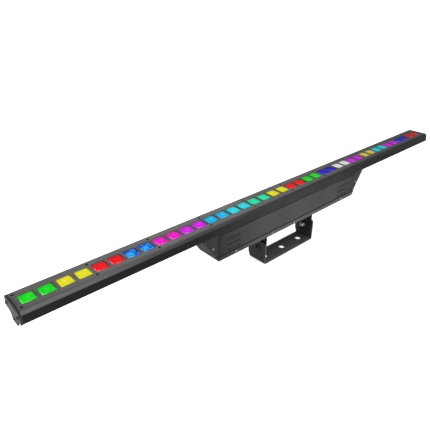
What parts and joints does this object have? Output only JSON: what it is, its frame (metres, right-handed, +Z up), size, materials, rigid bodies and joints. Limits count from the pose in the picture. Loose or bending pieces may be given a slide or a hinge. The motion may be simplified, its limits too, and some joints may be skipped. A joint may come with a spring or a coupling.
{
  "type": "led strip batten",
  "caption": "Slim one-metre stage batten with a row of square coloured pixel lenses, a sloping-ended driver housing beneath it and a tilting U floor bracket.",
  "frame": {"origin": "centre of the floor bracket's underside, on the axis of its middle hole", "axes": "+X along the bar, from the green end to the red end; +Y towards the rear, where the sockets and controls are; +Z up, out of the lit face"},
  "size_m": [1.0032, 0.054, 0.1305],
  "materials": {
    "powder_coat": "fine-grained matt charcoal-black powder coat on aluminium and sheet steel",
    "bezel_coat": "fine-grained matt charcoal powder coat",
    "bracket_coat": "fine-grained matt black powder coat on folded steel",
    "blackened_steel": "black zinc, slightly glossy",
    "zinc_steel": "bright zinc plate",
    "rubber": "black rubber or fibre",
    "black_plastic": "matt black moulded",
    "board_white": "white solder mask on an aluminium-backed board",
    "emitter": "clear dome over a pale phosphor die",
    "connector_white": "natural nylon",
    "cage_aluminium": "plain sheet",
    "board_green": "green solder mask",
    "display_plastic": "dark character display",
    "smoked_window": "smoked acrylic",
    "inlet_blue": "moulded blue",
    "outlet_grey": "moulded light grey",
    "socket_black": "moulded black",
    "pin_brass": "turned pins",
    "button_plastic": "satin black keys",
    "lens_amber": "frosted lens tile, shown in the colour of the light behind it",
    "lens_azure": "frosted lens tile, shown in the colour of the light behind it",
    "lens_blue": "frosted lens tile, shown in the colour of the light behind it",
    "lens_cyan": "frosted lens tile, shown in the colour of the light behind it",
    "lens_green": "frosted lens tile, shown in the colour of the light behind it",
    "lens_magenta": "frosted lens tile, shown in the colour of the light behind it",
    "lens_pink": "frosted lens tile, shown in the colour of the light behind it",
    "lens_red": "frosted lens tile, shown in the colour of the light behind it",
    "lens_sky": "frosted lens tile, shown in the colour of the light behind it",
    "lens_teal": "frosted lens tile, shown in the colour of the light behind it",
    "lens_white": "frosted lens tile, shown in the colour of the light behind it",
    "lens_yellow": "frosted lens tile, shown in the colour of the light behind it"
  },
  "bodies": {
    "stand": {"floor_bracket": "bracket_coat", "friction_washers": "rubber", "inner_washers": "blackened_steel", "outer_washers": "blackened_steel", "pivot_bolt_left": "blackened_steel", "pivot_bolt_right": "blackened_steel", "dome_nut_left": "zinc_steel", "dome_nut_right": "zinc_steel"},
    "head": {"bar_profile": "powder_coat", "bezel": "bezel_coat", "bezel_screws": "blackened_steel", "board_links": "connector_white", "bottom_cover": "powder_coat", "cell_grid": "black_plastic", "control_board": "board_green", "data_inlet": "socket_black", "data_outlet": "socket_black", "data_pins": "pin_brass", "display_module": "display_plastic", "display_window": "smoked_window", "driver_board": "board_green", "end_gaskets": "rubber", "end_plate_left": "powder_coat", "end_plate_right": "powder_coat", "end_screws": "blackened_steel", "housing_end_left": "powder_coat", "housing_end_right": "powder_coat", "housing_screws": "blackened_steel", "led_boards": "board_white", "led_emitters": "emitter", "lens_amber": "lens_amber", "lens_azure": "lens_azure", "lens_blue": "lens_blue", "lens_cyan": "lens_cyan", "lens_green": "lens_green", "lens_magenta": "lens_magenta", "lens_pink": "lens_pink", "lens_red": "lens_red", "lens_sky": "lens_sky", "lens_teal": "lens_teal", "lens_white": "lens_white", "lens_yellow": "lens_yellow", "lip_screws": "blackened_steel", "lug_left": "powder_coat", "lug_right": "powder_coat", "lug_screws": "blackened_steel", "power_inlet": "inlet_blue", "power_outlet": "outlet_grey", "power_supply": "cage_aluminium", "side_cover_front": "powder_coat", "side_cover_rear": "powder_coat", "side_screws": "blackened_steel", "side_wall_front": "powder_coat", "side_wall_rear": "powder_coat", "socket_screws": "blackened_steel"},
    "button_1_body": {"button_1": "button_plastic"},
    "button_2_body": {"button_2": "button_plastic"},
    "button_3_body": {"button_3": "button_plastic"},
    "button_4_body": {"button_4": "button_plastic"}
  },
  "joints": [
    {"name": "tilt", "type": "hinge", "parent": "stand", "child": "head", "pos_m": [0, 0, 0.03], "axis": [1, 0, 0], "range_deg": [-90, 90]},
    {"name": "button_1_press", "type": "slide", "parent": "head", "child": "button_1_body", "axis": [0, -1, 0], "range_m": [0, 0.001], "stiffness_N_per_m": 1000, "springref_m": -0.001},
    {"name": "button_2_press", "type": "slide", "parent": "head", "child": "button_2_body", "axis": [0, -1, 0], "range_m": [0, 0.001], "stiffness_N_per_m": 1000, "springref_m": -0.001},
    {"name": "button_3_press", "type": "slide", "parent": "head", "child": "button_3_body", "axis": [0, -1, 0], "range_m": [0, 0.001], "stiffness_N_per_m": 1000, "springref_m": -0.001},
    {"name": "button_4_press", "type": "slide", "parent": "head", "child": "button_4_body", "axis": [0, -1, 0], "range_m": [0, 0.001], "stiffness_N_per_m": 1000, "springref_m": -0.001}
  ]
}
